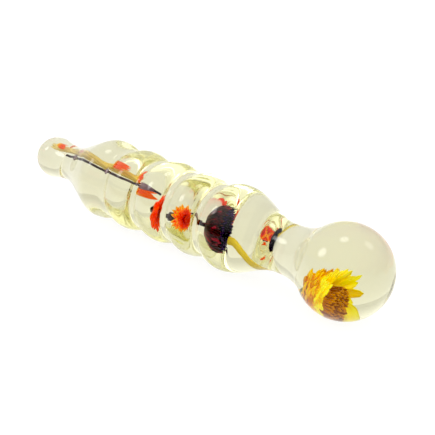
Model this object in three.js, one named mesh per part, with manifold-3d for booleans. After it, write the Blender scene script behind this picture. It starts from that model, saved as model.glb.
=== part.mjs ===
// A clear cast-resin hand wand with dried flowers set inside it.
//
// Frame: millimetres, +Z up, the wand's axis level along X with the large ball at +X.
// The origin is under the middle of the wand, at the height the ball rests on.
//
// The resin is two pours that meet on the upright plane through the axis, as such
// castings are made: the flowers are laid on the first pour and covered by the second.
// Each flower lies in a pocket that is open on that plane. The round outline is made
// with flat sides that touch the true circle, so a flat side faces straight down.

import * as THREE from 'three';
import { mergeVertices } from 'three/addons/utils/BufferGeometryUtils.js';
import Module from 'manifold-3d';

const wasm = await Module();
wasm.setup();

// ---- driving dimensions -------------------------------------------------------------

const LENGTH = 175;
const BALL_R = 17.5;            // large ball
const BALL_JOIN = 10.8;         // the ball's outline starts this far behind its centre
const TAIL_R = 8.5;             // small ball at the other end
const TAIL_JOIN = 2.1;          // its outline ends this far in front of its centre
const NECK_X = -68.8;           // thin neck beside the small ball
const NECK_R = 7.3;
const RING_COUNT = 5;
const REAR_RING_X = -45.8;      // crest of the ring nearest the tail
const RING_PITCH = 16.5;
const RING_R = 16.1;
const FRONT_RING_R = 16.7;      // the ring nearest the ball is a little larger
const SHOULDER_X = -54;         // the cone from the neck meets the rear ring's dome here
const SHOULDER_R = 13.0;
const SHOULDER_SLOPE = 0.48;
const RING_BULGE = 3.0;         // how far a ring would fall from its crest to the crease
const CREASE_FILLET = 2.0;      // half the width of the rounded crease between two rings
const WAIST_X = 43.6;           // waist between the front ring and the ball
const WAIST_R = 9.5;

const SIDES = 24;               // flat sides around the wand
const STRETCH = 3;              // longest outline step between two named stations
const BALL_JOIN_STEPS = 5;      // outline steps across the ball's equator, join to join
const TAIL_STEPS = 6;

const SEAM_GAP = 0.3;           // between the two pours
const POCKET_GAP = 0.5;         // between a dried piece and the resin around it
const PIECE_GAP = 0.35;         // between two dried pieces that touch

const AXIS_Z = BALL_R;
const BALL_X = LENGTH / 2 - BALL_R;
const TAIL_X = -LENGTH / 2 + TAIL_R;

// ---- materials ----------------------------------------------------------------------

function material(color, roughness, opacity = 1) {
  return new THREE.MeshStandardMaterial({
    color, roughness, metalness: 0, opacity, transparent: opacity < 1,
  });
}

const resin = material(0xe6e2be, 0.05, 0.35);
const yellowBract = material(0xe9c400, 0.6);
const amberBract = material(0xd98200, 0.6);
const brownDisc = material(0x9a5a0c, 0.8);
const greenCup = material(0x9a9440, 0.7);
const ochreStem = material(0xc9a227, 0.7);
const plumBract = material(0x3a0a1c, 0.45);
const violetFloret = material(0x3b1a5e, 0.6);
const orangePetal = material(0xf4420a, 0.55);
const redPetal = material(0xdc1a08, 0.5);
const darkHeart = material(0x8c0f0a, 0.7);
const darkTwig = material(0x3a2430, 0.6);
const strawStalk = material(0xd2b866, 0.7);

// ---- places of the dried pieces -------------------------------------------------------

const PETAL_THICKNESS = 0.6;
const ROD_SIDES = 6;

// Places are measured from the middle of the axis, before the wand is set on its ball.
const STRAWFLOWER_PLACE = [63.8, -1.1, -7.7];
const STRAWFLOWER_FACING = [0.98, 0.1, -0.1];
const STRAWFLOWER_STEM_R = 1.1;
const STRAWFLOWER_STEM_PATH = [
  [59.6, -0.9, -7.1], [54, -0.6, -6.7], [48, -0.2, -6.6], [38, -0.4, -7.0], [31, -0.6, -6.8],
  [26, -0.6, -5.2], [22, -0.6, -3.6], [19.6, -0.6, -3.5],
];

const PLUM_PLACE = [13.9, -0.4, -1.7];
const PLUM_FACING = [0.96, 0.25, -0.02];
const PLUM_STEM_R = 0.55;
const PLUM_STEM_PATH = [[2.4, 0.2, -0.6], [6.5, -0.2, -0.8], [9.4, -0.7, -1.1], [12.1, -0.9, -1.5]];

const ORANGE_FLOWERS = {
  orange_flower_rear: {
    place: [-16, -3, -2.2], facing: [0.97, 0.05, -0.2], radius: 5.3, lobes: 10, curl: 0.06,
    outer: orangePetal, inner: redPetal,
  },
  orange_flower_front: {
    place: [-3.2, 0, -3.0], facing: [0.98, 0, 0.15], radius: 3.2, lobes: 12, curl: 0.03,
    outer: amberBract, inner: redPetal,
  },
};

// The spray: a straw-coloured stalk behind the seam and a thin dark twig in front of it.
const STALK_R = 1.0;
const STALK_PATH = [
  [-82, 1.1, 2.0], [-77, 1.1, 2.3], [-71, 1.1, 2.5], [-60, 1.1, 2.6], [-54, 1.1, 2.9],
  [-50, 1.1, 2.2], [-44, 1.1, 2.2], [-36, 1.1, 2.1], [-28, 1.1, 1.2], [-22.5, 1.1, 0.8],
];
const TWIG_R = 0.5;
const TWIG_PATH = [
  [-70.5, -0.8, 2.2], [-64, -0.8, 2.2], [-54, -0.8, 2.5], [-46, -0.8, 2.0], [-38, -0.8, 1.9],
  [-30, -0.8, 1.6], [-24, -0.8, 1.6], [-20, -0.8, 1.8], [-16.2, -0.9, 1.5],
];

const SPRAY_BUDS = {
  spray_bud_1: { place: [-74.5, 0, 4.6], facing: [1, 0, -0.05], radius: 1.1, length: 7 },
  spray_bud_2: { place: [-60, 0, 4.9], facing: [1, 0, 0.05], radius: 0.8, length: 5 },
  spray_bud_3: { place: [-36, 0, 4.6], facing: [1, 0, -0.12], radius: 1.1, length: 6.6 },
  spray_bud_4: { place: [-24.5, 0, 3.6], facing: [1, 0, -0.15], radius: 1.4, length: 9 },
  spray_bud_5: { place: [-20.2, 0, -0.4], facing: [1, 0, 0.1], radius: 1.1, length: 4.4 },
};

// ---- outline of the wand ------------------------------------------------------------

// Smooth curve between two stations, each with a place, a radius and a slope.
function hermite(a, b, u) {
  const h = b.x - a.x;
  return a.r * (2 * u ** 3 - 3 * u ** 2 + 1) + b.r * (3 * u ** 2 - 2 * u ** 3)
    + h * a.slope * (u ** 3 - 2 * u ** 2 + u) + h * b.slope * (u ** 3 - u ** 2);
}

function wandStations() {
  const tailEdge = Math.sqrt(TAIL_R ** 2 - TAIL_JOIN ** 2);
  const ballEdge = Math.sqrt(BALL_R ** 2 - BALL_JOIN ** 2);
  const stations = [
    { x: TAIL_X + TAIL_JOIN, r: tailEdge, slope: -TAIL_JOIN / tailEdge },
    { x: NECK_X, r: NECK_R, slope: 0 },
    { x: SHOULDER_X, r: SHOULDER_R, slope: SHOULDER_SLOPE },
  ];
  const half = RING_PITCH / 2;
  const flank = half - CREASE_FILLET;
  const drop = RING_BULGE * (flank / half) ** 2;
  const slope = 2 * RING_BULGE * flank / half ** 2;
  const crease = RING_R - drop - slope * CREASE_FILLET / 2;
  for (let i = 0; i < RING_COUNT; i += 1) {
    const front = i === RING_COUNT - 1;
    const x = REAR_RING_X + i * RING_PITCH;
    const crest = front ? FRONT_RING_R : RING_R;
    if (i > 0) stations.push({ x: x - flank, r: crest - drop, slope });
    stations.push({ x, r: crest, slope: 0 });
    if (!front) stations.push({ x: x + flank, r: crest - drop, slope: -slope });
    if (!front) stations.push({ x: x + half, r: crease, slope: 0 });
  }
  stations.push({ x: WAIST_X, r: WAIST_R, slope: 0 });
  stations.push({ x: BALL_X - BALL_JOIN, r: ballEdge, slope: BALL_JOIN / ballEdge });
  return stations;
}

// Radius of the flat-sided outline's corners where the true circle's radius is r.
function cornerRadius(r) {
  return r / Math.cos(Math.PI / SIDES);
}

// The ball's outline has two corners that straddle its equator, set out so that the
// flat between them touches the true circle: the ball rests on a small flat patch.
function ballOutline() {
  const start = Math.asin(-BALL_JOIN / BALL_R);
  const step = -2 * start / BALL_JOIN_STEPS;
  const points = [];
  for (let angle = start; angle < Math.PI / 2 - step / 4; angle += step) {
    const r = Math.abs(angle) < step ? BALL_R / Math.cos(step / 2) : BALL_R;
    points.push(new THREE.Vector2(r * Math.cos(angle), BALL_X + r * Math.sin(angle)));
  }
  return points;
}

function wandOutline() {
  const points = [new THREE.Vector2(0, -LENGTH / 2)];
  const stations = wandStations();
  const tailEnd = Math.acos(-TAIL_JOIN / TAIL_R);
  for (let i = 1; i < TAIL_STEPS; i += 1) {
    const angle = tailEnd * i / TAIL_STEPS;
    points.push(new THREE.Vector2(TAIL_R * Math.sin(angle), TAIL_X - TAIL_R * Math.cos(angle)));
  }
  for (let i = 0; i + 1 < stations.length; i += 1) {
    const [a, b] = [stations[i], stations[i + 1]];
    const steps = Math.ceil((b.x - a.x) / STRETCH);
    for (let k = 0; k < steps; k += 1) {
      const u = k / steps;
      points.push(new THREE.Vector2(hermite(a, b, u), a.x + u * (b.x - a.x)));
    }
  }
  points.push(...ballOutline());
  points.push(new THREE.Vector2(0, LENGTH / 2));
  return points;
}

// ---- solids -------------------------------------------------------------------------

function toSolid(geometry) {
  const bare = geometry.clone();
  bare.deleteAttribute('normal');
  bare.deleteAttribute('uv');
  const merged = mergeVertices(bare, 1e-4);
  return new wasm.Manifold(new wasm.Mesh({
    numProp: 3,
    vertProperties: new Float32Array(merged.attributes.position.array),
    triVerts: new Uint32Array(merged.index.array),
  }));
}

function toGeometry(solid) {
  const mesh = solid.getMesh();
  const geometry = new THREE.BufferGeometry();
  geometry.setAttribute('position', new THREE.BufferAttribute(mesh.vertProperties, 3));
  geometry.setIndex(new THREE.BufferAttribute(mesh.triVerts, 1));
  geometry.computeVertexNormals();
  return geometry;
}

function named(name, geometry, look) {
  const mesh = new THREE.Mesh(geometry, look);
  mesh.name = name;
  return mesh;
}

// A turned solid about +Y through the given [radius, height] pairs, bottom to top.
function turned(profile, sides) {
  return new THREE.LatheGeometry(profile.map(([r, y]) => new THREE.Vector2(r, y)), sides);
}

// A round rod along a smooth path, its ends moved out by grow for a pocket.
function rod(path, radius, steps, grow = 0) {
  const points = path.map((place) => new THREE.Vector3(...place));
  if (grow > 0) {
    const last = points.length - 1;
    const start = points[0].clone().sub(points[1]).setLength(grow);
    const end = points[last].clone().sub(points[last - 1]).setLength(grow);
    points[0].add(start);
    points[last].add(end);
  }
  const section = new THREE.Shape();
  for (let i = 0; i < ROD_SIDES; i += 1) {
    const angle = 2 * Math.PI * i / ROD_SIDES;
    const [u, v] = [(radius + grow) * Math.cos(angle), (radius + grow) * Math.sin(angle)];
    if (i === 0) section.moveTo(u, v);
    else section.lineTo(u, v);
  }
  section.closePath();
  return new THREE.ExtrudeGeometry(section, {
    steps, bevelEnabled: false, extrudePath: new THREE.CatmullRomCurve3(points),
  });
}

// A thin dish of pointed lobes that curves up from its middle, lifted along +Y.
function whorl(radius, lobes, notch, curl, lift) {
  const rings = [0, 1 / 3, 2 / 3, 1];
  const lower = rings.map((u) => [u * radius, 0]);
  const upper = rings.toReversed().map((u) => [u * radius, PETAL_THICKNESS]);
  const geometry = turned([...lower, ...upper], 2 * lobes);
  const place = geometry.attributes.position;
  const point = new THREE.Vector3();
  for (let i = 0; i < place.count; i += 1) {
    point.fromBufferAttribute(place, i);
    const reach = Math.hypot(point.x, point.z);
    const turn = Math.atan2(point.x, point.z);
    const between = (1 - Math.cos(lobes * turn)) / 2;
    const shrink = 1 - (1 - notch) * between * (reach / radius) ** 2;
    const rise = lift + curl * (reach * shrink) ** 2;
    place.setXYZ(i, point.x * shrink, point.y + rise, point.z * shrink);
  }
  return geometry;
}

// A domed heart whose underside follows the curl of the whorl below it.
function heart(radius, height, curl, lift) {
  const rim = lift + curl * radius ** 2;
  const middle = lift + curl * (radius / 2) ** 2;
  return turned([
    [0, lift], [radius / 2, middle], [radius, rim],
    [radius * 0.8, rim + height * 0.6], [radius * 0.4, rim + height * 0.92], [0, rim + height],
  ], 12);
}

// The small green or dark cup behind a flower, its top just under the lowest whorl.
function backCup(radius, depth) {
  return turned([
    [0, -depth], [radius * 0.5, -depth * 0.9], [radius, -depth * 0.35], [radius, -PIECE_GAP],
    [0, -PIECE_GAP],
  ], 12);
}

// ---- pockets in the resin -----------------------------------------------------------

const pockets = [];

function addPocket(geometry, group = null) {
  if (group) geometry.applyMatrix4(group.matrix);
  pockets.push(toSolid(geometry));
}

function drum(radius, bottom, top) {
  return turned([
    [0, bottom], [radius * 0.45, bottom], [radius, bottom * 0.1], [radius, top * 0.7],
    [radius * 0.6, top], [0, top],
  ], 16);
}

// A group whose +Y is the way the flower faces.
function flowerAt(place, facing) {
  const group = new THREE.Group();
  group.position.set(...place);
  const direction = new THREE.Vector3(...facing).normalize();
  group.quaternion.setFromUnitVectors(new THREE.Vector3(0, 1, 0), direction);
  group.updateMatrix();
  return group;
}

// ---- dried pieces -------------------------------------------------------------------

function strawflower() {
  const curl = 0.05;
  const step = PETAL_THICKNESS + PIECE_GAP;
  const group = flowerAt(STRAWFLOWER_PLACE, STRAWFLOWER_FACING);
  group.add(
    named('strawflower_receptacle', backCup(2.6, 3.0), greenCup),
    named('strawflower_outer_bracts', whorl(7.5, 14, 0.8, curl, 0), amberBract),
    named('strawflower_middle_bracts', whorl(7.2, 12, 0.72, curl, step), yellowBract),
    named('strawflower_inner_bracts', whorl(6.2, 12, 0.7, curl, 2 * step), yellowBract),
    named('strawflower_disc', heart(3.8, 2.8, curl, 3 * step), brownDisc),
  );
  addPocket(drum(7.9, -3.6, 7.2), group);
  return group;
}

function strawflowerStem() {
  addPocket(rod(STRAWFLOWER_STEM_PATH, STRAWFLOWER_STEM_R, 20, POCKET_GAP));
  return named('strawflower_stem', rod(STRAWFLOWER_STEM_PATH, STRAWFLOWER_STEM_R, 20), ochreStem);
}

// The plum flower is a deep cup of scales with a brush of florets standing out of it.
function plumFlower() {
  const group = flowerAt(PLUM_PLACE, PLUM_FACING);
  const cup = turned([
    [0, -1.4], [2.6, -1.2], [4.8, 0], [5.6, 1.6], [5.4, 3.4],
    [4.8, 3.3], [4.8, 1.7], [3.8, 0.7], [0, -0.2],
  ], 16);
  const florets = turned([[0, 0.6], [3.0, 1.1], [4.2, 2.4], [4.4, 4.3], [0, 4.5]], 16);
  const spur = turned([[0, 3.9], [0.5, 4.1], [0.4, 5.0], [0, 5.6]], 6);
  spur.translate(0, 0, -4.9);
  group.add(
    named('plum_flower_cup', cup, plumBract),
    named('plum_flower_florets', florets, violetFloret),
    named('plum_flower_spur', spur, plumBract),
  );
  addPocket(drum(6.2, -2.4, 6.6), group);
  return group;
}

function plumStem() {
  addPocket(rod(PLUM_STEM_PATH, PLUM_STEM_R, 6, POCKET_GAP));
  return named('plum_flower_stem', rod(PLUM_STEM_PATH, PLUM_STEM_R, 6), darkTwig);
}

function orangeFlower(name, { place, facing, radius, lobes, curl, outer, inner }) {
  const step = PETAL_THICKNESS + PIECE_GAP;
  const group = flowerAt(place, facing);
  group.add(
    named(`${name}_calyx`, backCup(0.9, 1.6), darkTwig),
    named(`${name}_outer_petals`, whorl(radius, lobes, 0.75, curl, 0), outer),
    named(`${name}_inner_petals`, whorl(radius * 0.82, lobes - 2, 0.7, curl, step), inner),
    named(`${name}_heart`, heart(radius * 0.36, 0.8, curl, 2 * step), darkHeart),
  );
  const rim = 2 * step + curl * radius ** 2 + PETAL_THICKNESS;
  addPocket(drum(radius + POCKET_GAP, -2.1, rim + POCKET_GAP), group);
  return group;
}

function sprayRods() {
  addPocket(rod(STALK_PATH, STALK_R, 24, POCKET_GAP));
  addPocket(rod(TWIG_PATH, TWIG_R, 28, POCKET_GAP));
  return [
    named('spray_stalk', rod(STALK_PATH, STALK_R, 24), strawStalk),
    named('dark_twig', rod(TWIG_PATH, TWIG_R, 28), darkTwig),
  ];
}

function sprayBud(name, { place, facing, radius, length }) {
  const group = flowerAt(place, facing);
  const bell = (grow) => turned([
    [0, -length / 2 - grow], [radius * 0.45 + grow, -length * 0.4 - grow], [radius + grow, 0],
    [radius * 0.8 + grow, length * 0.3 + grow], [0, length / 2 + grow],
  ], 10);
  group.add(named(name, bell(0), orangePetal));
  addPocket(bell(POCKET_GAP), group);
  return group;
}

// ---- resin --------------------------------------------------------------------------

// The whole wand as one solid, with its axis along +X and a flat side facing -Z.
function wandSolid() {
  const corners = wandOutline();
  for (const corner of corners) corner.x = corner.x === 0 ? 0 : cornerRadius(corner.x);
  const geometry = new THREE.LatheGeometry(corners, SIDES, Math.PI / SIDES);
  geometry.rotateZ(-Math.PI / 2);
  return toSolid(geometry);
}

// One pour: the wand's half on one side of the seam, with its side of every pocket.
function pour(name, side, whole) {
  const reach = 2 * BALL_R;
  const block = new THREE.BoxGeometry(LENGTH + reach, reach, 2 * reach);
  block.translate(0, side * (reach / 2 + SEAM_GAP / 2), 0);
  let half = whole.intersect(toSolid(block));
  for (const pocket of pockets) half = half.subtract(pocket);
  return named(name, toGeometry(half), resin);
}

// ---- assembly -----------------------------------------------------------------------

const wand = new THREE.Group();
wand.position.z = AXIS_Z;
wand.add(
  strawflower(),
  strawflowerStem(),
  plumFlower(),
  plumStem(),
  ...Object.entries(ORANGE_FLOWERS).map(([name, size]) => orangeFlower(name, size)),
  ...sprayRods(),
  ...Object.entries(SPRAY_BUDS).map(([name, size]) => sprayBud(name, size)),
);

const whole = wandSolid();
wand.add(pour('resin_front_pour', -1, whole), pour('resin_back_pour', 1, whole));

const model = new THREE.Group();
model.add(wand);
model.updateMatrixWorld(true);

export default model;
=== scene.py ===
# The looks of a clear cast-resin hand wand with dried flowers set inside it.
#
# Metres, +Z up, the wand's axis along X with the large ball at +X, as in the CAD frame.
# One smooth resin body stands for the two pours, and every other piece stands for the CAD
# node of one dried piece. The flowers, stems, stalk and twig repeat the CAD's places. The
# buds and the plum flower's tail take theirs from their nodes' boxes.

import math
import random

import bpy
from mathutils import Matrix, Vector, noise


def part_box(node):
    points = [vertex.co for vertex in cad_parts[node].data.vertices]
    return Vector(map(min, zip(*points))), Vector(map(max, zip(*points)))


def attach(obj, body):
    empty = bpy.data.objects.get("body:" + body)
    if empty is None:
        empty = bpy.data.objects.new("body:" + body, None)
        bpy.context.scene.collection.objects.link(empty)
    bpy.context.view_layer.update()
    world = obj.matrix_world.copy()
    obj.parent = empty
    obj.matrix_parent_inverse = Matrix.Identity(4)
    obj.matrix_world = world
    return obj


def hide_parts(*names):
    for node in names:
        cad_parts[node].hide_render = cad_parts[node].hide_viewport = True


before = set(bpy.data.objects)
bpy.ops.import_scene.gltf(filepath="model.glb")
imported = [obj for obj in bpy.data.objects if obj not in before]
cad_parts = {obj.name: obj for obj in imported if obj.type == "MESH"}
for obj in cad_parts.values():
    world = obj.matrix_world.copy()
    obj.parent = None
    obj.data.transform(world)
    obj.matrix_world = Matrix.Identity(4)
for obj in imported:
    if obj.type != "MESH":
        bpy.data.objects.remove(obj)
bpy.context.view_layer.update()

MM = 0.001

# ---- the resin ----------------------------------------------------------------------

LENGTH = 175 * MM
BALL_R = 17.5 * MM
BALL_JOIN = 10.8 * MM        # the ball's outline starts this far behind its centre
TAIL_R = 8.5 * MM
TAIL_JOIN = 2.1 * MM         # the tail ball's outline ends this far in front of its centre
NECK_X = -68.8 * MM
NECK_R = 7.3 * MM
RING_COUNT = 5
REAR_RING_X = -45.8 * MM
RING_PITCH = 16.5 * MM
RING_R = 16.1 * MM
FRONT_RING_R = 16.7 * MM
SHOULDER_X = -54.0 * MM      # the cone from the neck meets the rear ring's dome here
SHOULDER_R = 13.0 * MM
SHOULDER_SLOPE = 0.48
RING_BULGE = 3.0 * MM        # how far a ring would fall from its crest to the crease
CREASE_FILLET = 2.0 * MM     # half the width of the rounded crease between two rings
WAIST_X = 43.6 * MM
WAIST_R = 9.5 * MM

AXIS_Z = BALL_R
BALL_X = LENGTH / 2 - BALL_R
TAIL_X = -LENGTH / 2 + TAIL_R

RESIN_STATIONS = 420         # outline steps along the wand
RESIN_SIDES = 160
CAST_RIPPLE = 0.05 * MM      # how far the cast surface strays from the true outline
RIPPLE_SCALE = 70            # ripples of the cast surface in a metre

# ---- places of the dried pieces, in millimetres from the middle of the axis -----------

STRAWFLOWER_PLACE = (63.8, -1.1, -7.7)
STRAWFLOWER_FACING = (0.98, 0.1, -0.1)
STRAWFLOWER_STEM_R = 1.1 * MM
STRAWFLOWER_STEM_PATH = (
    (59.6, -0.9, -7.1), (54, -0.6, -6.7), (48, -0.2, -6.6), (38, -0.4, -7.0), (31, -0.6, -6.8),
    (26, -0.6, -5.2), (22.0, -0.6, -3.6), (19.6, -0.6, -3.5),
)
PLUM_PLACE = (13.9, -0.4, -1.7)
PLUM_FACING = (0.96, 0.25, -0.02)
PLUM_STEM_R = 0.55 * MM
PLUM_STEM_PATH = ((2.4, 0.2, -0.6), (6.5, -0.2, -0.8), (9.4, -0.7, -1.1), (12.1, -0.9, -1.5))
REAR_FLOWER_PLACE = (-16.0, -3.0, -2.2)
REAR_FLOWER_FACING = (0.97, 0.05, -0.2)
FRONT_FLOWER_PLACE = (-3.2, 0.0, -3.0)
FRONT_FLOWER_FACING = (0.98, 0.0, 0.15)
STALK_R = 1.0 * MM
STALK_PATH = (
    (-82, 1.1, 2.0), (-77, 1.1, 2.3), (-71, 1.1, 2.5), (-60, 1.1, 2.6), (-54, 1.1, 2.9),
    (-50, 1.1, 2.2), (-44, 1.1, 2.2), (-36, 1.1, 2.1), (-28, 1.1, 1.2), (-22.5, 1.1, 0.8),
)
TWIG_R = 0.5 * MM
TWIG_PATH = (
    (-70.5, -0.8, 2.2), (-64, -0.8, 2.2), (-54, -0.8, 2.5), (-46, -0.8, 2.0), (-38, -0.8, 1.9),
    (-30, -0.8, 1.6), (-24, -0.8, 1.6), (-20, -0.8, 1.8), (-16.2, -0.9, 1.5),
)
TWIG_NODES = (-62.0, -44.0, -20.5)
BUD_COUNT = 5
PALE_BUD = 2                 # the number of the bud that has lost its colour

# ---- petals, scales and hairs ---------------------------------------------------------

GOLDEN_ANGLE = math.radians(137.508)
PETAL_THICKNESS = 0.12 * MM
PETAL_FOOT = 0.14            # a petal's foot is cut from its arched outline this far along
PETAL_FULLNESS = 0.8         # below 1 the outline is widest before its middle
PETAL_TIP = 0.02             # narrowest half width, as a share of the widest
PETAL_SWING = 0.06           # how far the tip swings sideways, as a share of the length
PETAL_RIPPLE = 0.04          # height of the ripples, as a share of the half width
RIPPLE_ACROSS = 5            # how fast they follow each other across the petal
RIPPLE_ALONG = 7             # and along it
TROUGH_LEVEL = 0.4           # level of the trough, from floor 0 to edges 1, in the petal's plane
PETAL_STRAY = 0.12           # how far a petal strays from its even place round the whorl
LEAN_STRAY = 0.12            # and from the whorl's lean
CURL_STRAY = 0.2             # and from its curl
PETAL_LENGTHS = (0.88, 1.06) # shortest and longest petal, as shares of the whorl's length
PETAL_WIDTHS = (0.85, 1.1)   # and the narrowest and widest, of its width
LONG_SIDE = -0.75            # turn round the whorl, from level, of a lopsided whorl's long side
SCALE_KEEL = 0.15 * MM       # how far a scale's middle stands out from its edges
SCALE_FOOT = 0.3             # how far its foot stands out from the cup, as a share of its tip
SCALE_POINT = 0.97           # share of its width that a scale loses from foot to tip
SCALE_FULLNESS = 2.2         # above 1 it loses most of that near the tip
BRUSH_DOME = 0.2             # how much shorter a brush's outermost hairs are
HAIR_LENGTHS = (0.82, 1.0)   # shortest and longest hair, as shares of the brush's height
HAIR_SIDES = 5
# A hair's radius on the way along it, as (share of its length, share of its radius).
HAIR_SHAPE = ((0, 1), (0.35, 1), (0.7, 1.1), (0.9, 1.25), (1, 0.4))

# ---- looks --------------------------------------------------------------------------

STRAND_MAP = "strand"        # the flat map: petal number and way across, then way along
VEINS_ALONG = 1.3            # about this many streaks follow each other along a petal
VEIN_EDGE = 0.5              # noise level where a vein starts
VEIN_CORE = 0.72             # and where it is as strong as it gets
VEIN_DEPTH = 0.7             # how fully a vein takes its colour
STAIN_DEPTH = 0.75           # how fully a stained petal takes its veins' colour
BLOTCH_SCALE = 2.2
BLOTCH_SHIFT = 0.5           # how far along the petal a blotch can shift the colours
BASE_END = 0.05              # up to here along the petal the base's colour is pure
BODY_PLACE = 0.45            # the body's colour is pure here
TIP_START = 0.95             # and from here on the tip's is
VEIN_RELIEF = 0.2 * MM
VEIN_RELIEF_STRENGTH = 0.5
WET_SHINE = 0.08             # resin wets the petals, so they hardly shine
PETAL_PAINTED_GLOW = 0.35            # painted glow: bright petals give off light in their own colour, standing in for light that reaches them

# ---- camera, room and display ---------------------------------------------------------

CAMERA_AZIMUTH = 41.5
CAMERA_ELEVATION = 26.5
CAMERA_DISTANCE = 0.430
CAMERA_TARGET = Vector((11.1 * MM, 0, AXIS_Z + 1.3 * MM))
CAMERA_LENS = 94.9
CAMERA_NEAR = 0.01           # nothing nearer than this is drawn

FLOOR_REACH = 3.0
FLOOR_SINK = 0.1 * MM        # gap under the wand, so that floor and resin don't meet
FLOOR_TONE = 0.16
FLOOR_GLOW = 0.84            # the floor lights itself, so that shadows on it stay faint

# Soft boxes: the way to each, its half width and soft edge in degrees, and its strength.
SOFT_BOXES = (
    (Vector((-0.62, -0.44, 0.65)), 4, 8, 4.5),
    (Vector((-0.23, 0.18, 0.96)), 4, 6, 3.5),
    (Vector((0.33, 0.62, 0.71)), 4, 7, 1.6),
)
HORIZON = 0.95               # the room's brightness low down
ZENITH = 1.9                 # and overhead
DOME_LOW = 0.1               # it grows from this height, where level is 0 and overhead is 1
DOME_HIGH = 0.9              # up to this one

LIGHT_BOUNCES = 40           # light turns many times inside the clear resin
DARKEST = 0.045              # light level that the picture shows as black


# ---- the wand's outline ---------------------------------------------------------------

def hermite(a, b, u):
    """Radius between two stations (place, radius, slope), u from 0 to 1."""
    span = b[0] - a[0]
    return (a[1] * (2 * u**3 - 3 * u**2 + 1) + b[1] * (3 * u**2 - 2 * u**3)
            + span * a[2] * (u**3 - 2 * u**2 + u) + span * b[2] * (u**3 - u**2))


def wand_stations():
    """(place, radius, slope) along the wand: domed rings with narrow creases between."""
    tail_edge = math.sqrt(TAIL_R**2 - TAIL_JOIN**2)
    ball_edge = math.sqrt(BALL_R**2 - BALL_JOIN**2)
    stations = [(TAIL_X + TAIL_JOIN, tail_edge, -TAIL_JOIN / tail_edge), (NECK_X, NECK_R, 0),
                (SHOULDER_X, SHOULDER_R, SHOULDER_SLOPE)]
    half = RING_PITCH / 2
    dome = 1 - CREASE_FILLET / half
    drop = RING_BULGE * dome**2
    slope = 2 * RING_BULGE * dome / half
    crease = RING_R - drop - slope * CREASE_FILLET / 2
    for i in range(RING_COUNT):
        front = i == RING_COUNT - 1
        x = REAR_RING_X + i * RING_PITCH
        crest = FRONT_RING_R if front else RING_R
        if i > 0:
            stations.append((x - half + CREASE_FILLET, crest - drop, slope))
        stations.append((x, crest, 0))
        if not front:
            stations.append((x + half - CREASE_FILLET, crest - drop, -slope))
            stations.append((x + half, crease, 0))
    stations.append((WAIST_X, WAIST_R, 0))
    stations.append((BALL_X - BALL_JOIN, ball_edge, BALL_JOIN / ball_edge))
    return stations


STATIONS = wand_stations()


def wand_radius(x):
    """The resin's radius at a place along the axis: two balls and the stations between."""
    if x <= STATIONS[0][0]:
        return math.sqrt(max(TAIL_R**2 - (x - TAIL_X)**2, 0))
    if x >= STATIONS[-1][0]:
        return math.sqrt(max(BALL_R**2 - (x - BALL_X)**2, 0))
    for a, b in zip(STATIONS, STATIONS[1:]):
        if x <= b[0]:
            return hermite(a, b, (x - a[0]) / (b[0] - a[0]))


# ---- placing ------------------------------------------------------------------------

def spot(place):
    """A place given in millimetres from the middle of the axis, in the frame's metres."""
    return Vector(place) * MM + Vector((0, 0, AXIS_Z))


def facing_frame(place, direction):
    """A matrix that sets a flower at its place with +Z along direction."""
    turn = Vector(direction).to_track_quat("Z", "Y").to_matrix().to_4x4()
    return Matrix.Translation(spot(place)) @ turn


def smooth_path(places, steps):
    """Points on a smooth curve through the given places, an equal number in each span."""
    points = [spot(place) for place in places]
    ends = [points[0] * 2 - points[1]] + points + [points[-1] * 2 - points[-2]]
    result = []
    spans = len(points) - 1
    for i in range(steps + 1):
        t = i / steps * spans
        k = min(int(t), spans - 1)
        u = t - k
        a, b, c, d = ends[k:k + 4]
        result.append(0.5 * (2 * b + (c - a) * u + (2 * a - 5 * b + 4 * c - d) * u**2
                             + (3 * b - a - 3 * c + d) * u**3))
    return result


# ---- meshes -------------------------------------------------------------------------

class Shape:
    """Gathers vertices, faces and a flat map of each strand or petal, then makes a piece."""

    def __init__(self):
        self.verts = []
        self.faces = []
        self.map = []
        self.count = 0

    def grid(self, rows, wrap=False):
        """Rows of (point, across, along); joins neighbours, and each row's ends if wrap."""
        first = len(self.verts)
        width = len(rows[0])
        for row in rows:
            for point, across, along in row:
                self.verts.append(point)
                self.map.append((self.count + across, along))
        for i in range(len(rows) - 1):
            for k in range(width if wrap else width - 1):
                a = first + i * width + k
                b = first + i * width + (k + 1) % width
                self.faces.append((a, b, b + width, a + width))
        self.count += 1
        return first, width

    def tube(self, rows):
        """Rows that wrap round, with a face across each end."""
        first, width = self.grid(rows, wrap=True)
        last = first + (len(rows) - 1) * width
        self.faces.append(tuple(first + k for k in reversed(range(width))))
        self.faces.append(tuple(last + k for k in range(width)))

    def piece(self, name, look, slot, nodes, thickness=0):
        """Makes the piece that stands for the given CAD nodes; sheets get a thickness."""
        mesh = bpy.data.meshes.new(name)
        mesh.from_pydata([tuple(v) for v in self.verts], [], self.faces)
        layer = mesh.uv_layers.new(name=STRAND_MAP)
        for loop in mesh.loops:
            layer.data[loop.index].uv = self.map[loop.vertex_index]
        mesh.validate()
        mesh.polygons.foreach_set("use_smooth", [True] * len(mesh.polygons))
        mesh.materials.append(look)
        piece = bpy.data.objects.new(name, mesh)
        bpy.context.scene.collection.objects.link(piece)
        if thickness:
            solid = piece.modifiers.new("thickness", "SOLIDIFY")
            solid.thickness = thickness
            solid.offset = 0
        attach(piece, "root")
        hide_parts(*nodes)


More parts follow.
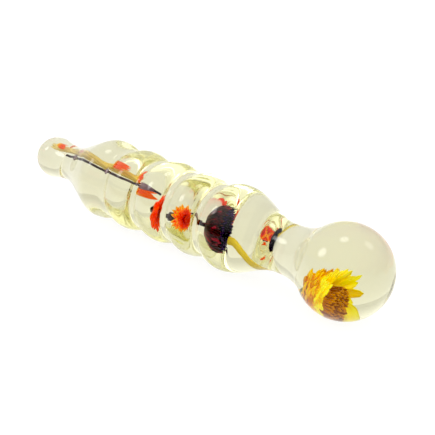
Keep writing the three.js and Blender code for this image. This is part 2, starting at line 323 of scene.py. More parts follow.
def add_petal(shape, place, length, width, lean, curl, trough, blunt, rng, across=6, along=9):
    """One petal: it starts at place's origin, leans up from its +X by lean and curls on.

    Across, it is a trough of the given depth, and the larger blunt is, the blunter its tip.
    """
    rows = []
    swing = rng.uniform(-PETAL_SWING, PETAL_SWING)
    for i in range(along + 1):
        v = i / along
        arch = PETAL_FOOT + (1 - PETAL_FOOT) * v
        outline = math.sin(math.pi * arch**PETAL_FULLNESS) ** (1 / blunt)
        half = width / 2 * max(outline, PETAL_TIP)
        angle = lean + curl * v
        reach = length * v * math.cos(lean + curl * v / 2)
        rise = length * v * math.sin(lean + curl * v / 2)
        row = []
        for k in range(across + 1):
            u = k / across * 2 - 1
            dip = trough * half * (u * u - TROUGH_LEVEL)
            ripple = PETAL_RIPPLE * half * math.sin(RIPPLE_ACROSS * u + RIPPLE_ALONG * v)
            x = reach - (dip + ripple) * math.sin(angle)
            y = u * half + swing * length * v * v
            z = rise + (dip + ripple) * math.cos(angle)
            row.append((place @ Vector((x, y, z)), k / across, v))
        rows.append(row)
    shape.grid(rows)


def add_whorl(shape, place, whorl, trough, blunt, rng, lopsided=0.0):
    """A ring of petals round place's +Z, each a little different.

    A whorl is (lift, count, radius, length, width, lean, curl), sizes in millimetres. The
    petals on the long side are longer, and the others shorter, by the share lopsided.
    """
    lift, count, radius, length, width, lean, curl = whorl
    level = place @ Matrix.Translation((0, 0, lift * MM))
    for i in range(count):
        turn = lift + 2 * math.pi * i / count + rng.uniform(-PETAL_STRAY, PETAL_STRAY)
        size = rng.uniform(*PETAL_LENGTHS) * (1 + lopsided * math.cos(turn - LONG_SIDE))
        own_lean = lean + rng.uniform(-LEAN_STRAY, LEAN_STRAY)
        at = level @ Matrix.Rotation(turn, 4, "Z") @ Matrix.Translation((radius * MM, 0, 0))
        own_width = width * MM * rng.uniform(*PETAL_WIDTHS)
        own_curl = curl + rng.uniform(-CURL_STRAY, CURL_STRAY)
        add_petal(shape, at, length * MM * size, own_width, own_lean, own_curl, trough, blunt, rng)


def add_strand(shape, path, radii, sides=6):
    """A closed round strand through the points, with a radius for each of them."""
    rows = []
    side = None
    for i, point in enumerate(path):
        ahead = path[min(i + 1, len(path) - 1)] - path[max(i - 1, 0)]
        tangent = ahead.normalized()
        if side is None:
            side = tangent.orthogonal().normalized()
        side = (side - tangent * side.dot(tangent)).normalized()
        other = tangent.cross(side)
        v = i / (len(path) - 1)
        row = []
        for k in range(sides):
            angle = 2 * math.pi * k / sides
            spoke = side * math.cos(angle) + other * math.sin(angle)
            row.append((point + spoke * radii[i], k / sides, v))
        rows.append(row)
    shape.tube(rows)


def add_scale(shape, place, outline, turn, start, length, width, lift, across=4, along=6):
    """A pointed scale that lies on a cup whose radius at a height is outline(height)."""
    rows = []
    for i in range(along + 1):
        v = i / along
        height = start + length * v
        radius = outline(height) + lift * (SCALE_FOOT + (1 - SCALE_FOOT) * v)
        half = width / 2 * (1 - SCALE_POINT * v**SCALE_FULLNESS)
        row = []
        for k in range(across + 1):
            u = k / across * 2 - 1
            angle = turn + u * half / radius
            keel = radius + SCALE_KEEL * (1 - u * u)
            point = Vector((keel * math.cos(angle), keel * math.sin(angle), height))
            row.append((place @ point, k / across, v))
        rows.append(row)
    shape.grid(rows)


def add_turned(shape, place, outline, sides=32):
    """A closed turned body round place's +Z through (radius, height) pairs in millimetres."""
    rows = []
    for i, (radius, height) in enumerate(outline):
        row = []
        for k in range(sides):
            angle = 2 * math.pi * k / sides
            point = Vector((radius * math.cos(angle), radius * math.sin(angle), height)) * MM
            row.append((place @ point, k / sides, i / (len(outline) - 1)))
        rows.append(row)
    shape.tube(rows)


def add_brush(shape, place, count, rng, radius, foot, height, hair, splay, hollow=0.0):
    """A dense brush of fine florets round place's +Z, tallest in the middle.

    Its middle is left bare out to the share hollow of its radius.
    """
    for i in range(count):
        reach = math.sqrt(hollow**2 + (1 - hollow**2) * (i + 0.5) / count)
        turn = i * GOLDEN_ANGLE
        out = Vector((math.cos(turn), math.sin(turn), 0)) * reach
        tall = height * rng.uniform(*HAIR_LENGTHS) * (1 - BRUSH_DOME * reach**2)
        sway = Vector((rng.uniform(-1, 1), rng.uniform(-1, 1), 0)) * hair
        path = []
        radii = []
        for t, share in HAIR_SHAPE:
            lean = out * (radius + splay * t * t) + sway * t
            path.append(place @ (lean + Vector((0, 0, foot + tall * t))))
            radii.append(hair * share)
        add_strand(shape, path, radii, HAIR_SIDES)


# ---- materials ----------------------------------------------------------------------

def new_material(name):
    """A new material, with its nodes, its links and its shader."""
    look = bpy.data.materials.new(name)
    look.use_nodes = True
    nodes = look.node_tree.nodes
    return look, nodes, look.node_tree.links, nodes["Principled BSDF"]


def noise_texture(nodes, links, place, scale, detail):
    """Noise over the places that an output gives."""
    texture = nodes.new("ShaderNodeTexNoise")
    texture.inputs["Scale"].default_value = scale
    texture.inputs["Detail"].default_value = detail
    links.new(place, texture.inputs["Vector"])
    return texture.outputs["Fac"]


def arithmetic(nodes, links, operation, *values, clamp=False):
    """A step of arithmetic on values, each of them a number or another node's output."""
    step = nodes.new("ShaderNodeMath")
    step.operation = operation
    step.use_clamp = clamp
    for socket, value in zip(step.inputs, values):
        if isinstance(value, float):
            socket.default_value = value
        else:
            links.new(value, socket)
    return step.outputs[0]


def resin_material():
    """Clear, faintly yellow-green polyester resin."""
    look, nodes, links, shader = new_material("clear_resin")
    shader.inputs["Base Color"].default_value = (0.71, 0.692, 0.55, 1)
    shader.inputs["Roughness"].default_value = 0.0
    shader.inputs["IOR"].default_value = 1.5
    shader.inputs["Transmission Weight"].default_value = 1.0
    depth = nodes.new("ShaderNodeVolumeAbsorption")
    depth.inputs["Color"].default_value = (0.90, 0.895, 0.56, 1)
    depth.inputs["Density"].default_value = 12
    links.new(depth.outputs["Volume"], nodes["Material Output"].inputs["Volume"])
    return look


def petal_ramp(nodes, links, along, base, body, tip):
    """Colour along a petal, from base through body to tip."""
    ramp = nodes.new("ShaderNodeValToRGB")
    stops = ramp.color_ramp.elements
    stops[0].color = (*base, 1)
    stops[0].position = BASE_END
    stops[1].color = (*tip, 1)
    stops[1].position = TIP_START
    stops.new(BODY_PLACE).color = (*body, 1)
    links.new(along, ramp.inputs["Fac"])
    return ramp.outputs["Color"]


def petal_stain(nodes, links, across, streaks, variety):
    """Where the veins' colour shows: in the veins, and all over a share of the petals."""
    veins = nodes.new("ShaderNodeMapRange")
    veins.inputs["From Min"].default_value = VEIN_EDGE
    veins.inputs["From Max"].default_value = VEIN_CORE
    veins.inputs["To Max"].default_value = VEIN_DEPTH
    links.new(streaks, veins.inputs["Value"])
    number = arithmetic(nodes, links, "FLOOR", across)
    chance = nodes.new("ShaderNodeTexWhiteNoise")
    chance.noise_dimensions = "1D"
    links.new(number, chance.inputs["W"])
    stained = arithmetic(nodes, links, "LESS_THAN", chance.outputs["Value"], variety)
    return arithmetic(nodes, links, "MULTIPLY_ADD", stained, STAIN_DEPTH, veins.outputs["Result"],
                      clamp=True)


def petal_material(name, base, body, tip, vein, roughness=0.55, veins=9, painted_glow=0.0,
                   variety=0.0):
    """A dried petal: colour runs from base to tip, with veins along it and dry blotches.

    About as many veins as the number veins lie side by side. A share of the petals,
    variety, is stained all over with the veins' colour. With painted_glow the petal
    gives off its own colour as a painted glow, though it is no lamp.
    """
    look, nodes, links, shader = new_material(name)
    place = nodes.new("ShaderNodeUVMap")
    place.uv_map = STRAND_MAP
    split = nodes.new("ShaderNodeSeparateXYZ")
    links.new(place.outputs["UV"], split.inputs[0])
    stretch = nodes.new("ShaderNodeMapping")
    stretch.inputs["Scale"].default_value = (veins, VEINS_ALONG, 1)
    links.new(place.outputs["UV"], stretch.inputs["Vector"])
    streaks = noise_texture(nodes, links, stretch.outputs["Vector"], scale=1.0, detail=3.0)

    blotch = noise_texture(nodes, links, place.outputs["UV"], BLOTCH_SCALE, detail=2.0)
    shift = arithmetic(nodes, links, "MULTIPLY_ADD", blotch, BLOTCH_SHIFT, -BLOTCH_SHIFT / 2)
    along = arithmetic(nodes, links, "ADD", split.outputs["Y"], shift, clamp=True)
    mix = nodes.new("ShaderNodeMix")
    mix.data_type = "RGBA"
    stain = petal_stain(nodes, links, split.outputs["X"], streaks, variety)
    links.new(stain, mix.inputs["Factor"])
    links.new(petal_ramp(nodes, links, along, base, body, tip), mix.inputs["A"])
    mix.inputs["B"].default_value = (*vein, 1)
    links.new(mix.outputs["Result"], shader.inputs["Base Color"])

    bump = nodes.new("ShaderNodeBump")
    bump.inputs["Strength"].default_value = VEIN_RELIEF_STRENGTH
    bump.inputs["Distance"].default_value = VEIN_RELIEF
    links.new(streaks, bump.inputs["Height"])
    links.new(bump.outputs["Normal"], shader.inputs["Normal"])
    shader.inputs["Roughness"].default_value = roughness
    shader.inputs["Specular IOR Level"].default_value = WET_SHINE
    # Painted glow: the petal gives off its own colour as light, though it is no lamp.
    if painted_glow:
        links.new(mix.outputs["Result"], shader.inputs["Emission Color"])
        shader.inputs["Emission Strength"].default_value = painted_glow
    return look


# ---- resin body ---------------------------------------------------------------------

def resin_body():
    """The whole casting as one smooth closed body, with a faint ripple all over."""
    shape = Shape()
    rows = []
    for i in range(1, RESIN_STATIONS):
        x = -LENGTH / 2 * math.cos(math.pi * i / RESIN_STATIONS)
        radius = wand_radius(x)
        row = []
        for k in range(RESIN_SIDES):
            angle = 2 * math.pi * k / RESIN_SIDES
            spoke = Vector((0, -math.sin(angle), math.cos(angle)))
            point = Vector((x, 0, AXIS_Z)) + spoke * radius
            wobble = noise.noise(point * RIPPLE_SCALE) * min(1, radius / NECK_R)
            row.append((point - spoke * CAST_RIPPLE * (1 + wobble), k / RESIN_SIDES, x / LENGTH))
        rows.append(row)
    first, width = shape.grid(rows, wrap=True)
    last = first + (len(rows) - 1) * width
    for end, ring, turn in ((-LENGTH / 2, first, 1), (LENGTH / 2, last, -1)):
        pole = len(shape.verts)
        shape.verts.append(Vector((end, 0, AXIS_Z)))
        shape.map.append((0.5, end / LENGTH))
        for k in range(width):
            edge = (ring + (k + 1) % width, ring + k)[::turn]
            shape.faces.append((pole, *edge))
    shape.piece("resin_body", resin_material(), "clear_resin",
                ("resin_front_pour", "resin_back_pour"))


# ---- strawflower in the ball --------------------------------------------------------

def strawflower_bracts(place, rng):
    """Papery bracts that lean further forward, and grow more yellow, towards the disc."""
    amber = petal_material(
        "amber_bract", base=(0.55, 0.20, 0.004), body=(0.76, 0.38, 0.003),
        tip=(0.88, 0.62, 0.004), vein=(0.60, 0.20, 0.0), painted_glow=PETAL_PAINTED_GLOW, variety=0.35)
    yellow = petal_material(
        "yellow_bract", base=(0.80, 0.48, 0.003), body=(0.88, 0.74, 0.003),
        tip=(0.92, 0.88, 0.03), vein=(0.80, 0.50, 0.0), painted_glow=PETAL_PAINTED_GLOW, variety=0.25)
    # name, look, slot, and its whorls: lift, count, radius, length, width, lean, curl
    layers = (
        ("outer", amber, "amber_petal", (
            (-1.5, 22, 1.2, 4.1, 2.6, -0.60, 0.80),
            (-0.9, 24, 1.6, 4.5, 2.6, -0.30, 0.75),
            (-0.3, 26, 2.0, 4.7, 2.5, -0.05, 0.65),
            (0.2, 26, 2.3, 4.8, 2.4, 0.12, 0.55),
        )),
        ("middle", yellow, "yellow_petal", (
            (0.6, 26, 2.8, 5.0, 2.2, 0.26, 0.35),
            (1.1, 24, 3.2, 5.3, 2.1, 0.40, 0.25),
        )),
        ("inner", yellow, "yellow_petal", (
            (1.5, 20, 3.4, 5.8, 2.1, 0.52, 0.10),
            (1.8, 18, 3.7, 5.6, 1.8, 0.64, 0.05),
        )),
    )
    for name, look, slot, whorls in layers:
        shape = Shape()
        for whorl in whorls:
            add_whorl(shape, place, whorl, trough=0.5, blunt=3.0, rng=rng, lopsided=0.2)
        shape.piece(f"strawflower_{name}_petals", look, slot, (f"strawflower_{name}_bracts",),
                    thickness=PETAL_THICKNESS)


def strawflower_disc(place, rng):
    """A dense brush of brown florets on a domed core."""
    # Darker towards their roots: painted shade deep inside the dense brush, over the florets' own
    # brown.
    brown = petal_material(
        "brown_floret", base=(0.14, 0.03, 0.001), body=(0.52, 0.19, 0.002),
        tip=(0.66, 0.28, 0.004), vein=(0.20, 0.05, 0.001), roughness=0.7, painted_glow=PETAL_PAINTED_GLOW,
        variety=0.45)
    disc = Shape()
    add_turned(disc, place, ((2.4, 1.2), (3.3, 2.0), (3.4, 3.4), (2.4, 4.6), (0.8, 5.0)))
    add_brush(disc, place, 220, rng, radius=3.2 * MM, foot=1.6 * MM, height=5.1 * MM,
              hair=0.21 * MM, splay=0.9 * MM)
    disc.piece("strawflower_florets", brown, "brown_disc", ("strawflower_disc",))


def strawflower_cup(place):
    """A small green cup of pointed scales behind the bracts."""
    green = petal_material(
        "green_cup", base=(0.30, 0.24, 0.05), body=(0.42, 0.33, 0.06),
        tip=(0.62, 0.42, 0.06), vein=(0.22, 0.14, 0.03), roughness=0.7)
    cup = Shape()
    add_turned(cup, place, ((0.9, -2.9), (1.9, -2.2), (2.5, -1.2), (2.5, -0.4)))
    scales = 24
    for i in range(scales):
        add_scale(cup, place, lambda height: 2.6 * MM, i * GOLDEN_ANGLE, start=-2.4 * MM,
                  length=2.0 * MM, width=1.2 * MM, lift=0.2 * MM)
    cup.piece("strawflower_cup", green, "dried_calyx", ("strawflower_receptacle",))


def strawflower():
    """The large yellow flower in the ball, without its stem."""
    place = facing_frame(STRAWFLOWER_PLACE, STRAWFLOWER_FACING)
    rng = random.Random(11)
    strawflower_bracts(place, rng)
    strawflower_disc(place, rng)
    strawflower_cup(place)


def strawflower_stem():
    """A dried uneven stem that runs from the ball through the waist to the front ring."""
    look = petal_material(
        "ochre_stem", base=(0.92, 0.70, 0.07), body=(0.94, 0.74, 0.07),
        tip=(0.86, 0.62, 0.06), vein=(0.60, 0.38, 0.03), roughness=0.65, veins=4)
    mean_share = 0.86        # of the CAD stem's radius
    swell_share = 0.13
    swell_step = 0.31
    shape = Shape()
    path = smooth_path(STRAWFLOWER_STEM_PATH, 70)
    radii = []
    for i in range(len(path)):
        swelling = noise.noise(Vector((i * swell_step, 0, 0)))
        radii.append(STRAWFLOWER_STEM_R * (mean_share + swell_share * swelling))
    add_strand(shape, path, radii, sides=9)
    shape.piece("ochre_stem", look, "ochre_stem", ("strawflower_stem",))


# ---- plum flower in the front ring --------------------------------------------------

def plum_outline(height):
    """Outside radius of the plum flower's cup, a full bowl with a blunt foot."""
    foot = -1.2 * MM
    rise = 4.0 * MM
    widest = 5.3 * MM
    mouth_loss = 0.07        # how far the mouth draws in again, as a share of the widest
    share = min(max((height - foot) / rise, 0.0), 1.0)
    bowl = math.sqrt(1 - 0.9 * (1 - share)**2.5)
    return widest * bowl * (1 - mouth_loss * share**3)


def plum_cup(place, plum, rng):
    """An open cup, its wall covered with rows of pointed scales."""
    cup = Shape()
    bottom = -1.1            # these five are in millimetres
    depth = 3.5
    wall = 0.5
    under_scales = 0.25      # the wall lies this far inside the scales' feet
    row_step = 0.45
    steps = 8
    outside = []
    for i in range(steps + 1):
        height = bottom + depth * i / steps
        outside.append((plum_outline(height * MM) / MM - under_scales, height))
    lining = outside[2:]
    inside = [(radius - wall, height) for radius, height in reversed(lining)]
    inside.append((0.4, lining[0][1] + 0.3))
    add_turned(cup, place, [(0.35, -1.9), (0.5, -1.3), *outside, *inside], sides=40)
    rows = 7
    scales = 20
    for row in range(rows):
        start = (bottom + row_step * row) * MM
        for i in range(scales):
            turn = 2 * math.pi * (i + 0.5 * (row % 2)) / scales + rng.uniform(-0.05, 0.05)
            length = rng.uniform(1.7, 2.9) * MM
            width = rng.uniform(1.4, 1.8) * MM
            add_scale(cup, place, plum_outline, turn, start, length, width, lift=0.26 * MM)
    cup.piece("plum_flower_scales", plum, "plum_scale", ("plum_flower_cup",))


def plum_florets(place, rng):
    """A dark brush that stands out of the cup, and a longer violet fringe round it."""
    dark = petal_material(
        "dark_floret", base=(0.005, 0.003, 0.005), body=(0.006, 0.004, 0.007),
        tip=(0.014, 0.008, 0.026), vein=(0.004, 0.003, 0.005), roughness=0.55)
    violet = petal_material(
        "violet_floret", base=(0.005, 0.003, 0.006), body=(0.008, 0.004, 0.016),
        tip=(0.12, 0.04, 0.34), vein=(0.004, 0.003, 0.006), roughness=0.55, variety=0.4)
    brush = Shape()
    add_brush(brush, place, 260, rng, radius=3.6 * MM, foot=0.4 * MM, height=3.5 * MM,
              hair=0.14 * MM, splay=1.1 * MM)
    brush.piece("plum_flower_brush", dark, "violet_floret", ("plum_flower_florets",))
    fringe = Shape()
    add_brush(fringe, place, 90, rng, radius=3.6 * MM, foot=0.4 * MM, height=4.8 * MM,
              hair=0.10 * MM, splay=1.5 * MM, hollow=0.7)
    fringe.piece("plum_flower_fringe", violet, "violet_floret", ("plum_flower_florets",))


def plum_tail(plum):
    """One thin scale that hangs below the flower, in its CAD node's box."""
    tail = Shape()
    low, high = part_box("plum_flower_spur")
    slant = 0.4 * MM
    tip = Vector(((low.x + high.x) / 2, (low.y + high.y) / 2, low.z))
    root = Vector((tip.x - slant, tip.y, high.z))
    add_strand(tail, [root, root.lerp(tip, 0.5), tip], [0.32 * MM, 0.26 * MM, 0.08 * MM])
    tail.piece("plum_flower_tail", plum, "plum_scale", ("plum_flower_spur",))


def plum_flower():
    """The dark plum-coloured flower, without its stem."""
    place = facing_frame(PLUM_PLACE, PLUM_FACING)
    rng = random.Random(5)
    plum = petal_material(
        "plum_scale", base=(0.012, 0.004, 0.006), body=(0.008, 0.003, 0.005),
        tip=(0.004, 0.003, 0.005), vein=(0.40, 0.010, 0.035), roughness=0.38, veins=5, variety=0.15)
    plum_cup(place, plum, rng)
    plum_florets(place, rng)
    plum_tail(plum)


def plum_flower_stem():
    """A short greyish stem that thickens towards the plum flower."""
    look = petal_material(
        "plum_stem", base=(0.36, 0.27, 0.25), body=(0.42, 0.32, 0.30),
        tip=(0.18, 0.10, 0.10), vein=(0.12, 0.08, 0.09), roughness=0.5, veins=4)
    shape = Shape()
    steps = 18
    path = smooth_path(PLUM_STEM_PATH, steps)
    radii = [PLUM_STEM_R * (0.85 + 0.25 * (i / steps)**2) for i in range(steps + 1)]
    add_strand(shape, path, radii, sides=9)
    shape.piece("plum_stem", look, "dark_twig", ("plum_flower_stem",))


# ---- orange flowers -----------------------------------------------------------------

def orange_rays(name, layer, place, look, slot, whorls, rng):
    """One layer of narrow rays, in one or more whorls."""
    shape = Shape()
    for whorl in whorls:
        add_whorl(shape, place, whorl, trough=0.7, blunt=1.3, rng=rng)
    shape.piece(f"{name}_{layer}_rays", look, slot, (f"{name}_{layer}_petals",),
                thickness=PETAL_THICKNESS)


def orange_core(name, place, look, radius, foot, tall, rng):
    """A low core with a short brush on it; its sizes are in millimetres."""
    core = Shape()
    narrow = radius * 0.7
    outline = ((narrow, foot), (radius, foot + 0.3), (narrow, foot + tall * 0.6))
    add_turned(core, place, outline, sides=20)
    add_brush(core, place, 70, rng, radius=radius * MM, foot=foot * MM, height=tall * MM,
              hair=0.10 * MM, splay=0.1 * MM)
    core.piece(f"{name}_core", look, "red_heart", (f"{name}_heart",))


def orange_cup(name, place):
    """The small dark cup of scales behind an orange flower."""
    dark = petal_material(
        f"{name}_calyx", base=(0.05, 0.03, 0.04), body=(0.09, 0.05, 0.05),
        tip=(0.14, 0.08, 0.03), vein=(0.02, 0.01, 0.02), roughness=0.6)
    cup = Shape()
    add_turned(cup, place, ((0.35, -1.6), (0.6, -1.2), (0.8, -0.6), (0.7, -0.35)), sides=16)
    scales = 8
    for i in range(scales):
        turn = 2 * math.pi * i / scales
        add_scale(cup, place, lambda height: 0.75 * MM, turn, start=-1.2 * MM,
                  length=0.9 * MM, width=0.6 * MM, lift=0.1 * MM)
    cup.piece(f"{name}_cup", dark, "dark_twig", (f"{name}_calyx",))


def rear_orange_flower():
    """The flower nearer the twig, a shallow dish of red rays."""
    place = facing_frame(REAR_FLOWER_PLACE, REAR_FLOWER_FACING)
    rng = random.Random(21)
    outer = petal_material(
        "dish_ray", base=(0.80, 0.04, 0.003), body=(0.88, 0.05, 0.003),
        tip=(0.92, 0.11, 0.006), vein=(0.75, 0.03, 0.002), roughness=0.4, veins=5, painted_glow=PETAL_PAINTED_GLOW)
    inner = petal_material(
        "dish_inner_ray", base=(0.60, 0.02, 0.003), body=(0.72, 0.03, 0.003),
        tip=(0.85, 0.08, 0.004), vein=(0.55, 0.01, 0.002), roughness=0.45, veins=5, painted_glow=PETAL_PAINTED_GLOW)
    heart = petal_material(
        "dish_heart", base=(0.30, 0.01, 0.003), body=(0.50, 0.02, 0.004),
        tip=(0.75, 0.10, 0.01), vein=(0.15, 0.0, 0.0), roughness=0.6)
    name = "orange_flower_rear"
    orange_rays(name, "outer", place, outer, "orange_petal", (
        (0.0, 14, 0.7, 5.0, 2.7, 0.15, 0.35),
        (0.4, 12, 0.7, 4.7, 2.6, 0.22, 0.35),
    ), rng)
    orange_rays(name, "inner", place, inner, "red_petal", (
        (0.9, 12, 0.6, 4.0, 2.2, 0.28, 0.35),
    ), rng)
    orange_core(name, place, heart, 1.2, 1.9, 1.2, rng)
    orange_cup(name, place)


def front_orange_flower():
    """The flower nearer the ball, an open star with yellow tips."""
    place = facing_frame(FRONT_FLOWER_PLACE, FRONT_FLOWER_FACING)
    rng = random.Random(22)
    outer = petal_material(
        "star_ray", base=(0.75, 0.03, 0.003), body=(0.86, 0.07, 0.003),
        tip=(0.95, 0.55, 0.02), vein=(0.80, 0.05, 0.003), roughness=0.5, veins=5, painted_glow=PETAL_PAINTED_GLOW)
    inner = petal_material(
        "star_inner_ray", base=(0.55, 0.01, 0.003), body=(0.86, 0.03, 0.003),
        tip=(0.86, 0.08, 0.005), vein=(0.55, 0.02, 0.003), roughness=0.5, veins=5, painted_glow=PETAL_PAINTED_GLOW)
    heart = petal_material(
        "star_heart", base=(0.30, 0.005, 0.004), body=(0.52, 0.010, 0.004),
        tip=(0.75, 0.04, 0.01), vein=(0.20, 0.0, 0.0), roughness=0.65, painted_glow=PETAL_PAINTED_GLOW)
    name = "orange_flower_front"
    orange_rays(name, "outer", place, outer, "orange_petal", (
        (0.1, 17, 0.8, 2.4, 1.25, 0.0, 0.10),
        (0.4, 15, 0.8, 2.0, 1.25, 0.06, 0.10),
    ), rng)
    orange_rays(name, "inner", place, inner, "red_petal", (
        (0.8, 14, 0.6, 1.85, 1.05, 0.06, 0.10),
    ), rng)
    orange_core(name, place, heart, 1.0, 1.1, 0.8, rng)
    orange_cup(name, place)


# ---- spray along the rear half ------------------------------------------------------

def stalk_fibre(path, number, count, offset):
    """One fibre of the stalk: it winds round the path at about offset, and thins at its ends."""
    steps = len(path) - 1
    phase = 2 * math.pi * number / count
    twist = 0.06             # turn from one step to the next
    wander = 0.6             # how far the turn strays
    looseness = 0.35         # how far the offset strays, as a share of it
    thickness = 0.42         # share of the stalk's radius
    tip_share = 0.25         # share of its thickness that a fibre keeps at its end
    thinning = 12            # how quickly it reaches its whole thickness
    strand = []
    radii = []
    for i, point in enumerate(path):
        turn = phase + i * twist + wander * noise.noise(Vector((i * 0.08, number * 3.1, 0)))
        loose = offset * (1 + looseness * noise.noise(Vector((i * 0.11, 0, number * 1.7))))
        strand.append(point + Vector((0, math.cos(turn), math.sin(turn))) * loose)
        end = min(i, steps - i) / steps
        radii.append(STALK_R * thickness * min(1, tip_share + thinning * end))
    return strand, radii


def stalk():
    """A straw-coloured stalk of several loose fibres twisted together."""
    look = petal_material(
        "straw_stalk", base=(0.92, 0.76, 0.36), body=(0.92, 0.70, 0.24),
        tip=(0.94, 0.68, 0.10), vein=(0.70, 0.46, 0.12), roughness=0.6, veins=5)
    rng = random.Random(8)
    shape = Shape()
    path = smooth_path(STALK_PATH, 110)
    fibres = 6
    for fibre in range(fibres):
        offset = rng.uniform(0.35, 0.6) * STALK_R
        strand, radii = stalk_fibre(path, fibre, fibres, offset)
        add_strand(shape, strand, radii)
    shape.piece("straw_stalk", look, "straw_stalk", ("spray_stalk",))


def twig_line():
    """Points along the twig, which sways a little off its path."""
    sway_scale = 260
    sway_size = 0.22         # millimetres
    apart = Vector((0, 0, 9))
    strand = []
    for point in smooth_path(TWIG_PATH, 160):
        place = point * sway_scale
        sway = Vector((0, noise.noise(place), noise.noise(place + apart)))
        strand.append(point + sway * sway_size * MM)
    return strand


def twig():
    """A thin dark twig with a swollen sleeve round each of its nodes, painted pale as a highlight.
    """
    look = petal_material(
        "dark_twig", base=(0.045, 0.025, 0.03), body=(0.035, 0.018, 0.025),
        tip=(0.05, 0.025, 0.04), vein=(0.26, 0.17, 0.23), roughness=0.35, veins=3)
    # The sleeves' pale purple-grey, lightest at their middles, is a painted highlight on the twig's
    # nodes.
    sleeve_painted_highlight = petal_material(
        "twig_sleeve", base=(0.16, 0.09, 0.14), body=(0.34, 0.22, 0.31),
        tip=(0.16, 0.09, 0.14), vein=(0.05, 0.03, 0.05), roughness=0.6, veins=6)
    bare_share = 0.62        # share of the CAD twig's radius, between the sleeves
    sleeve_share = 0.66      # and of a sleeve's end
    swell_share = 0.9        # and of the swelling at its middle
    sleeve_half = 2.4        # half the length of a sleeve, in millimetres
    swell_half = 1.4         # and of the swelling
    strand = twig_line()
    stem = Shape()
    add_strand(stem, strand, [TWIG_R * bare_share] * len(strand), sides=8)
    stem.piece("twig", look, "dark_twig", ("dark_twig",))
    sleeves = Shape()
    for node in TWIG_NODES:
        near = [point for point in strand if abs(point.x / MM - node) < sleeve_half]
        radii = []
        for point in near:
            swelling = math.exp(-((point.x / MM - node) / swell_half)**2)
            radii.append(TWIG_R * (sleeve_share + swell_share * swelling))
        add_strand(sleeves, near, radii, sides=8)
    sleeves.piece("twig_sleeves", sleeve_painted_highlight, "dark_twig", ("dark_twig",))


def bud(number, look, rng):
    """A slim bud of a few ragged rolled petals, laid along its CAD node's box."""
    petals = 7
    node = f"spray_bud_{number}"
    low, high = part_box(node)
    length = high.x - low.x
    root = Vector((low.x, (low.y + high.y) / 2, (low.z + high.z) / 2))
    wide = (high.y - low.y) * 0.8
    shape = Shape()
    for i in range(petals):
        turn = 2 * math.pi * i / petals + rng.uniform(-0.3, 0.3)
        place = Matrix.Translation(root) @ Matrix.Rotation(turn, 4, "X")
        own_length = length * rng.uniform(0.55, 0.96)
        own_width = wide * rng.uniform(0.45, 0.85)
        lean = rng.uniform(0.02, 0.34)
        curl = rng.uniform(-0.5, 0.1)
        add_petal(shape, place, own_length, own_width, lean, curl, trough=1.1, blunt=1.2, rng=rng)
    shape.piece(f"bud_{number}", look, "orange_petal", (node,), thickness=PETAL_THICKNESS)


def buds():
    """Orange buds beside the stalk and the twig, one of them pale."""
    rng = random.Random(31)
    orange = petal_material(
        "bud_petal", base=(0.88, 0.55, 0.03), body=(0.84, 0.11, 0.002),
        tip=(0.86, 0.14, 0.003), vein=(0.75, 0.05, 0.003), roughness=0.5, veins=4, painted_glow=PETAL_PAINTED_GLOW)
    pale = petal_material(
        "pale_bud_petal", base=(0.85, 0.60, 0.30), body=(0.88, 0.42, 0.24),
        tip=(0.90, 0.36, 0.18), vein=(0.80, 0.30, 0.14), roughness=0.5, veins=4)
    for number in range(1, BUD_COUNT + 1):
        bud(number, pale if number == PALE_BUD else orange, rng)


# ---- stage, camera and light --------------------------------------------------------

def floor():
    """A plain pale floor just under the ball and the ring nearest the tail."""
    ring_bottom = AXIS_Z - RING_R
    slope = ring_bottom / (BALL_X - REAR_RING_X)
    corners = []
    for x, y in ((-1, -1), (1, -1), (1, 1), (-1, 1)):
        height = (BALL_X - x * FLOOR_REACH) * slope - FLOOR_SINK
        corners.append((x * FLOOR_REACH, y * FLOOR_REACH, height))
    mesh = bpy.data.meshes.new("floor")
    mesh.from_pydata(corners, [], [(0, 1, 2, 3)])
    look, _, _, shader = new_material("floor")
    shader.inputs["Base Color"].default_value = (FLOOR_TONE, FLOOR_TONE, FLOOR_TONE, 1)
    shader.inputs["Roughness"].default_value = 0.9
    shader.inputs["Emission Color"].default_value = (1, 1, 1, 1)
    shader.inputs["Emission Strength"].default_value = FLOOR_GLOW
    mesh.materials.append(look)
    piece = bpy.data.objects.new("floor", mesh)
    bpy.context.scene.collection.objects.link(piece)


def camera():
    """A camera that looks at the wand from the ball's end, from above and in front."""
    azimuth = math.radians(CAMERA_AZIMUTH)
    elevation = math.radians(CAMERA_ELEVATION)
    back = Vector((math.sin(azimuth) * math.cos(elevation),
                   -math.cos(azimuth) * math.cos(elevation), math.sin(elevation)))
    lens = bpy.data.cameras.new("camera")
    lens.lens = CAMERA_LENS
    lens.clip_start = CAMERA_NEAR
    view = bpy.data.objects.new("camera", lens)
    view.location = CAMERA_TARGET + back * CAMERA_DISTANCE
    view.rotation_euler = back.to_track_quat("Z", "Y").to_euler()
    bpy.context.scene.collection.objects.link(view)
    bpy.context.scene.camera = view


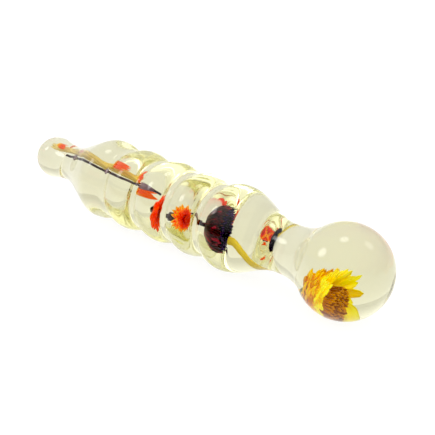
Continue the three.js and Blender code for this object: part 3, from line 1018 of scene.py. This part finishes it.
def soft_box(nodes, links, way, direction, half, edge, strength):
    """The light that one soft box adds, by the way one looks."""
    toward = nodes.new("ShaderNodeVectorMath")
    toward.operation = "DOT_PRODUCT"
    toward.inputs[1].default_value = direction.normalized()
    links.new(way, toward.inputs[0])
    soft = nodes.new("ShaderNodeMapRange")
    soft.interpolation_type = "SMOOTHSTEP"
    soft.inputs["From Min"].default_value = math.cos(math.radians(half + edge))
    soft.inputs["From Max"].default_value = math.cos(math.radians(half))
    soft.inputs["To Max"].default_value = strength
    links.new(toward.outputs["Value"], soft.inputs["Value"])
    return soft.outputs["Result"]


def sky():
    """A white room, brighter overhead, with soft boxes in it."""
    world = bpy.data.worlds.new("sky")
    world.use_nodes = True
    bpy.context.scene.world = world
    nodes = world.node_tree.nodes
    links = world.node_tree.links
    way = nodes.new("ShaderNodeTexCoord").outputs["Generated"]
    height = nodes.new("ShaderNodeSeparateXYZ")
    links.new(way, height.inputs[0])
    dome = nodes.new("ShaderNodeMapRange")
    dome.inputs["From Min"].default_value = DOME_LOW
    dome.inputs["From Max"].default_value = DOME_HIGH
    dome.inputs["To Min"].default_value = HORIZON
    dome.inputs["To Max"].default_value = ZENITH
    links.new(height.outputs["Z"], dome.inputs["Value"])
    total = dome.outputs["Result"]
    for box in SOFT_BOXES:
        total = arithmetic(nodes, links, "ADD", soft_box(nodes, links, way, *box), total)
    background = nodes["Background"]
    background.inputs["Color"].default_value = (1, 1, 1, 1)
    links.new(total, background.inputs["Strength"])


def light_paths():
    """Lets light turn often enough to get through the resin."""
    cycles = bpy.context.scene.cycles
    cycles.max_bounces = LIGHT_BOUNCES
    cycles.glossy_bounces = LIGHT_BOUNCES
    cycles.transmission_bounces = LIGHT_BOUNCES


def display():
    """Plain display colours, with the black level raised a little."""
    settings = bpy.context.scene.view_settings
    settings.view_transform = "Standard"
    settings.use_curve_mapping = True
    settings.curve_mapping.black_level = (DARKEST, DARKEST, DARKEST)
    settings.curve_mapping.update()


# ---- making everything --------------------------------------------------------------

camera()
sky()
floor()
light_paths()
display()
resin_body()
strawflower()
strawflower_stem()
plum_flower()
plum_flower_stem()
rear_orange_flower()
front_orange_flower()
stalk()
twig()
buds()
